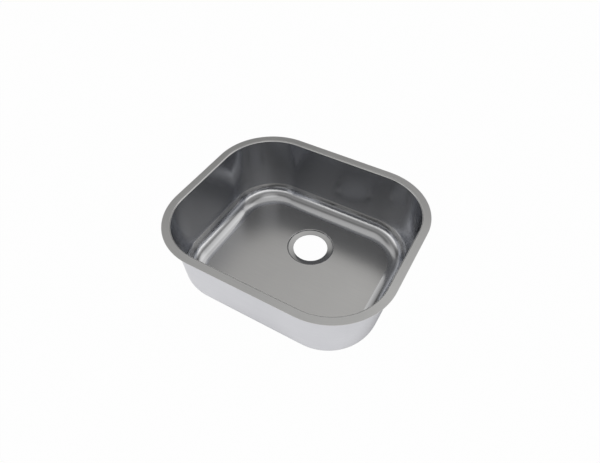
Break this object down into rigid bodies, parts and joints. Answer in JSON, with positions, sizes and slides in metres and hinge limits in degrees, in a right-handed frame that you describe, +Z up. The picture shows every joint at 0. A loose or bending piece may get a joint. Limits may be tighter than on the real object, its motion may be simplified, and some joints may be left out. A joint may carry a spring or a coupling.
{
  "type": "undermount kitchen sink",
  "caption": "Undermount kitchen sink: a drawn stainless bowl with large rounded corners, a flat flange, a rear centre drain hole and rubber sound pads under its floor.",
  "frame": {"origin": "under the middle of the flange, at the height of the sink's lowest point, the lower edge of the drain hole", "axes": "+X right along the long side, +Y to the back, where the drain is, +Z up out of the bowl"},
  "size_m": [0.548, 0.47, 0.1865],
  "materials": {
    "stainless_sheet": "satin brushed stainless sheet",
    "pad_rubber": "matt black rubber"
  },
  "bodies": {
    "root": {"sink_bowl": "stainless_sheet", "floor_pad_front": "pad_rubber", "floor_pad_left": "pad_rubber", "floor_pad_right": "pad_rubber"}
  },
  "joints": []
}
